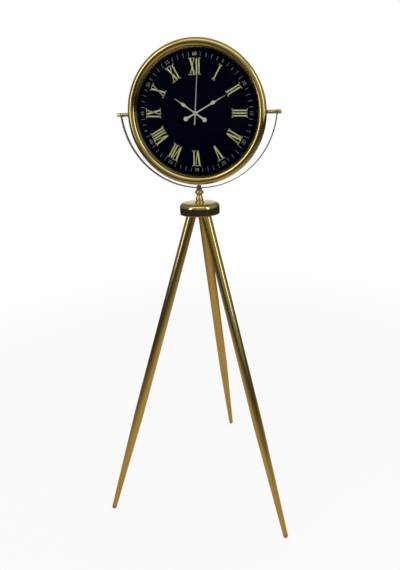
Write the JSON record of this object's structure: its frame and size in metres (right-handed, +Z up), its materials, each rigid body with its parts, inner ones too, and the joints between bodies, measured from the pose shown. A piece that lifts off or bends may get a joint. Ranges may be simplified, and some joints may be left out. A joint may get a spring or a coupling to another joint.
{
  "type": "tripod floor clock",
  "caption": "Round brass clock head with a dark dial, held in a bent strip yoke that swivels on a turned stem above a domed hub with leaning tapered legs.",
  "frame": {"origin": "on the floor, in the middle of the box round the whole clock", "axes": "+Z up, the dial faces -Y, +X is to the right of someone facing the dial"},
  "size_m": [0.495, 0.4305, 1.2611],
  "materials": {
    "polished_brass": "polished and lacquered, lightly toned",
    "aged_brass": "darker satin brass",
    "hand_brass": "pale satin",
    "zinc_plated_steel": "zinc plated",
    "dial_black": "gloss near-black",
    "clear_glass": "clear polished",
    "white_plastic": "moulded",
    "black_plastic": "moulded",
    "enamelled_copper": "enamelled copper wire",
    "circuit_board": "lacquered board",
    "fibre_washer": "pressed fibre"
  },
  "bodies": {
    "tripod": {"hub_cap": "polished_brass", "hub_block": "zinc_plated_steel", "hub_washer": "zinc_plated_steel", "hub_nut": "zinc_plated_steel", "tie_rod": "zinc_plated_steel", "stem": "polished_brass", "yoke_nut": "polished_brass", "yoke_washer": "fibre_washer", "leg_tube_back": "polished_brass", "leg_plug_back": "zinc_plated_steel", "foot_tip_back": "aged_brass", "leg_tube_left": "polished_brass", "leg_plug_left": "zinc_plated_steel", "foot_tip_left": "aged_brass", "leg_tube_right": "polished_brass", "leg_plug_right": "zinc_plated_steel", "foot_tip_right": "aged_brass"},
    "yoke": {"yoke_strip": "polished_brass"},
    "head": {"case_drum": "aged_brass", "bezel_ring": "polished_brass", "glass": "clear_glass", "reflector_ring": "aged_brass", "dial_plate": "dial_black", "dial_seat_ring": "zinc_plated_steel", "rear_cover": "aged_brass", "rear_screw_1": "zinc_plated_steel", "rear_screw_2": "zinc_plated_steel", "rear_screw_3": "zinc_plated_steel", "rear_screw_4": "zinc_plated_steel", "pivot_sleeve_left": "polished_brass", "pivot_sleeve_right": "polished_brass", "pivot_nut_left": "zinc_plated_steel", "pivot_nut_right": "zinc_plated_steel", "pivot_washer_left": "fibre_washer", "pivot_washer_right": "fibre_washer", "movement_housing": "black_plastic", "movement_cover": "black_plastic", "middle_plate": "white_plastic", "dial_nut": "polished_brass", "stator": "zinc_plated_steel", "motor_coil": "enamelled_copper", "circuit_board": "circuit_board", "cell": "zinc_plated_steel", "cell_contact_left": "zinc_plated_steel", "cell_contact_right": "zinc_plated_steel"},
    "knob_left": {"knob_left": "polished_brass"},
    "knob_right": {"knob_right": "polished_brass"},
    "minute": {"minute_hand": "hand_brass", "minute_pipe": "polished_brass"},
    "hour": {"hour_hand": "hand_brass", "hour_wheel": "white_plastic"},
    "motion": {"motion_wheel": "white_plastic"},
    "setting": {"setting_knob": "white_plastic"},
    "second": {"second_hand": "hand_brass", "second_arbor": "white_plastic"},
    "third": {"third_wheel": "white_plastic"},
    "centre": {"centre_wheel": "white_plastic"},
    "step": {"step_wheel": "white_plastic"},
    "rotor": {"rotor": "black_plastic"}
  },
  "joints": [
    {"name": "yoke_swivel", "type": "hinge", "parent": "tripod", "child": "yoke", "pos_m": [0, -0.06965, 0.8947], "axis": [0, 0, 1], "continuous": true},
    {"name": "head_tilt", "type": "hinge", "parent": "yoke", "child": "head", "pos_m": [0, -0.06965, 1.0831], "axis": [1, 0, 0], "continuous": true},
    {"name": "knob_left_turn", "type": "hinge", "parent": "head", "child": "knob_left", "pos_m": [-0.2055, -0.06965, 1.0831], "axis": [-1, 0, 0], "range_deg": [0, 720]},
    {"name": "knob_right_turn", "type": "hinge", "parent": "head", "child": "knob_right", "pos_m": [0.2055, -0.06965, 1.0831], "axis": [1, 0, 0], "range_deg": [0, 720]},
    {"name": "minute_turn", "type": "hinge", "parent": "head", "child": "minute", "pos_m": [0, -0.06965, 1.0831], "axis": [0, 1, 0], "continuous": true},
    {"name": "motion_turn", "type": "hinge", "parent": "head", "child": "motion", "pos_m": [0, -0.06965, 1.0951], "axis": [0, 1, 0], "continuous": true},
    {"name": "hour_turn", "type": "hinge", "parent": "head", "child": "hour", "pos_m": [0, -0.06965, 1.0831], "axis": [0, 1, 0], "continuous": true},
    {"name": "setting_turn", "type": "hinge", "parent": "head", "child": "setting", "pos_m": [-0.00919, -0.06965, 1.10281], "axis": [0, 1, 0], "continuous": true},
    {"name": "second_turn", "type": "hinge", "parent": "head", "child": "second", "pos_m": [0, -0.06965, 1.0831], "axis": [0, 1, 0], "continuous": true},
    {"name": "third_turn", "type": "hinge", "parent": "head", "child": "third", "pos_m": [-0.00935, -0.06965, 1.0885], "axis": [0, 1, 0], "continuous": true},
    {"name": "centre_turn", "type": "hinge", "parent": "head", "child": "centre", "pos_m": [0, -0.06965, 1.0831], "axis": [0, 1, 0], "continuous": true},
    {"name": "step_turn", "type": "hinge", "parent": "head", "child": "step", "pos_m": [0.00956, -0.06965, 1.08862], "axis": [0, 1, 0], "continuous": true},
    {"name": "rotor_turn", "type": "hinge", "parent": "head", "child": "rotor", "pos_m": [0.01376, -0.06965, 1.09589], "axis": [0, 1, 0], "continuous": true}
  ],
  "couplings": [
    {"joint": "motion_turn", "follows": "minute_turn", "ratio": -0.33333},
    {"joint": "hour_turn", "follows": "minute_turn", "ratio": 0.083333},
    {"joint": "setting_turn", "follows": "minute_turn", "ratio": 1},
    {"joint": "third_turn", "follows": "second_turn", "ratio": -0.13333},
    {"joint": "centre_turn", "follows": "second_turn", "ratio": 0.016667},
    {"joint": "step_turn", "follows": "second_turn", "ratio": -5},
    {"joint": "rotor_turn", "follows": "second_turn", "ratio": 30}
  ]
}
